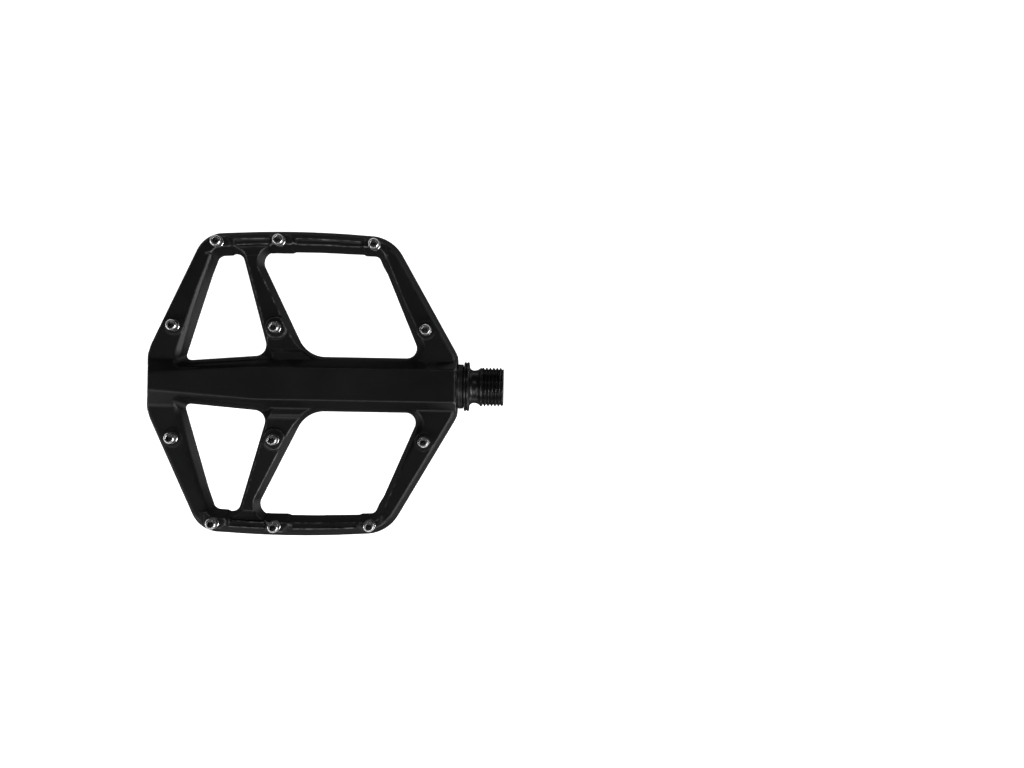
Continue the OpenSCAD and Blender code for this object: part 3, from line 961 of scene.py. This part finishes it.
def make_end_cap():
    """The screwed plug in the outboard end, with a key socket in its face."""
    low, high = box_mm("end_cap")
    radius = high[1]
    rings = [(high[0], 0.01), (high[0], radius - 0.3), (high[0] - 0.3, radius), (low[0] + 0.5, radius)]
    rings += [(low[0] + 0.2, radius - 0.12), (low[0] + 0.05, radius - 0.32), (low[0], radius - 0.55)]
    # a groove round the face, then the key socket
    key, depth = 5, 1.6
    rings += [(low[0], radius - 1.3), (low[0] + 0.15, radius - 1.45), (low[0] + 0.15, radius - 1.6),
              (low[0], radius - 1.75), (low[0], hexagon(key + 0.5)), (low[0] + 0.25, hexagon(key)),
              (low[0] + depth, hexagon(key)), (low[0] + depth + 0.1, 0.02)]
    points, faces = lathe(rings, 72)
    piece = small_piece("plug_end_cap", along_x(points), [f[::-1] for f in faces], 35)
    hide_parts("end_cap")
    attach(piece, "cage_body")
    piece.data.materials.append(MATERIALS["anodised_black"])


# ---- stage, lights and camera ----
def make_stage():
    """A plain white floor, below the circle that the cage turns through."""
    floor_z = -62.0
    reach = 4000.0
    corners = [(x * reach, y * reach, floor_z) for x, y in ((-1, -1), (1, -1), (1, 1), (-1, 1))]
    floor = small_piece("floor", corners, [(0, 1, 2, 3)])
    m = Nodes("floor_white", (0.9, 0.9, 0.9), 0.0, 0.8, Emission_Strength=0.88)
    m.shader.inputs["Emission Color"].default_value = (1, 1, 1, 1)
    m.shader.inputs["Specular IOR Level"].default_value = 0.1
    floor.data.materials.append(m.material)
    # the floor shows white, but the metal mirrors the dimmer room instead of it
    floor.visible_glossy = False
    floor.visible_diffuse = False
    floor.visible_shadow = False


def softbox(name, azimuth, elevation, distance, width, height, radiance):
    """An area light that faces the cage. Azimuth is from +X towards +Y, and distance and size are in metres.

    Radiance is what a mirror would see.
    """
    aim = Vector((CAGE_MID_X * MM, 0, 0))
    a, e = math.radians(azimuth), math.radians(elevation)
    toward = Vector((math.cos(e) * math.cos(a), math.cos(e) * math.sin(a), math.sin(e)))
    data = bpy.data.lights.new(name, "AREA")
    data.shape = "RECTANGLE"
    data.size, data.size_y = width, height
    data.energy = radiance * math.pi * width * height
    light = bpy.data.objects.new(name, data)
    light.location = aim + toward * distance
    light.rotation_euler = (-toward).to_track_quat("-Z", "Y").to_euler()
    light.visible_camera = False
    bpy.context.scene.collection.objects.link(light)


# Each soft light: name, azimuth, elevation, distance, width, height, radiance
SOFTBOXES = [
    ("overhead", -146, 47, 1.2, 0.6, 0.4, 2.6),
    ("key_front", -84, 50, 1.1, 0.9, 0.45, 3.0),
    ("left_under", -172, -6, 1.2, 0.5, 0.25, 2.5),
    ("right_under", -8, -26, 1.2, 1.7, 0.4, 1.9),
    ("side_right_low", -29, 25, 1.2, 0.8, 0.4, 9.0),
    ("side_left_low", -140, 24, 1.2, 0.6, 0.3, 3.5),
    ("rim_back", 92, 58, 1.2, 1.0, 0.12, 2.4)]

# How bright the room is in each direction: (height, radiance). Height is 0 straight down, 0.5 level and 1
# straight up. The room is brightest just below level, which the steep walls of the cage mirror.
BRIGHT_ROOM = [(0.0, 0.05), (0.25, 0.1), (0.36, 0.5), (0.42, 1.3), (0.49, 0.5), (0.57, 0.08), (0.75, 0.05),
               (1.0, 0.04)]
DARK_ROOM = [(0.0, 0.05), (0.3, 0.1), (0.37, 1.0), (0.42, 1.0), (0.46, 0.1), (0.62, 0.03), (1.0, 0.03)]
BRIGHT_SIDE = (0.1, -1.0, 0.0)           # the direction in which BRIGHT_ROOM is seen
SIDE_START, SIDE_END = -0.25, 0.35       # where the dark room gives way to it, along that direction


def make_world():
    """Pale walls to the camera, and a dimmer room, brighter towards one side, to light the object."""
    world = bpy.data.worlds.new("studio")
    world.use_nodes = True
    tree = world.node_tree

    def node(kind, **inputs):
        made = tree.nodes.new(kind)
        for socket, value in inputs.items():
            made.inputs[socket.replace("_", " ")].default_value = value
        return made

    direction = node("ShaderNodeTexCoord").outputs["Generated"]
    split = node("ShaderNodeSeparateXYZ")
    tree.links.new(direction, split.inputs["Vector"])
    height = node("ShaderNodeMapRange", From_Min=-1)
    tree.links.new(split.outputs["Z"], height.inputs["Value"])
    mixed = node("ShaderNodeMixRGB")
    for socket, stops in (("Color1", DARK_ROOM), ("Color2", BRIGHT_ROOM)):
        ramp = node("ShaderNodeValToRGB")
        set_stops(ramp, stops)
        tree.links.new(height.outputs["Result"], ramp.inputs["Fac"])
        tree.links.new(ramp.outputs["Color"], mixed.inputs[socket])
    along = node("ShaderNodeVectorMath")
    along.operation = "DOT_PRODUCT"
    along.inputs[1].default_value = BRIGHT_SIDE
    tree.links.new(direction, along.inputs[0])
    side = node("ShaderNodeMapRange", From_Min=SIDE_START, From_Max=SIDE_END)
    side.interpolation_type = "SMOOTHSTEP"
    tree.links.new(along.outputs["Value"], side.inputs["Value"])
    tree.links.new(side.outputs["Result"], mixed.inputs["Fac"])
    room = tree.nodes["Background"]
    tree.links.new(mixed.outputs["Color"], room.inputs["Color"])
    wall = node("ShaderNodeBackground", Color=(0.93, 0.93, 0.93, 1))
    ray = node("ShaderNodeLightPath")
    mix = node("ShaderNodeMixShader")
    tree.links.new(ray.outputs["Is Camera Ray"], mix.inputs["Fac"])
    tree.links.new(room.outputs["Background"], mix.inputs[1])
    tree.links.new(wall.outputs["Background"], mix.inputs[2])
    tree.links.new(mix.outputs["Shader"], tree.nodes["World Output"].inputs["Surface"])
    bpy.context.scene.world = world


def make_camera():
    """A camera straight above, so that the picture has the photograph's framing and perspective."""
    data = bpy.data.cameras.new("camera")
    camera = bpy.data.objects.new("camera", data)
    bpy.context.scene.collection.objects.link(camera)
    # what the width of the picture spans at the height of the spindle, and how high above that the camera is
    view_width, distance = 375.808, 395.0
    # where the middle of the view falls, about the middle of the cage
    view_x, view_y = 76.65, 1.25
    turn = math.radians(1.0)
    data.sensor_width = 36
    data.lens = data.sensor_width * distance / view_width
    camera.location = ((view_x + CAGE_MID_X) * MM, view_y * MM, distance * MM)
    camera.rotation_euler = (0, 0, turn)
    bpy.context.scene.camera = camera


dress_cad_nodes()
make_cage()
make_pins()
make_spindle()
make_seal()
make_end_cap()
make_stage()
make_world()
for box in SOFTBOXES:
    softbox(*box)
make_camera()
bpy.context.scene.view_settings.view_transform = "Standard"
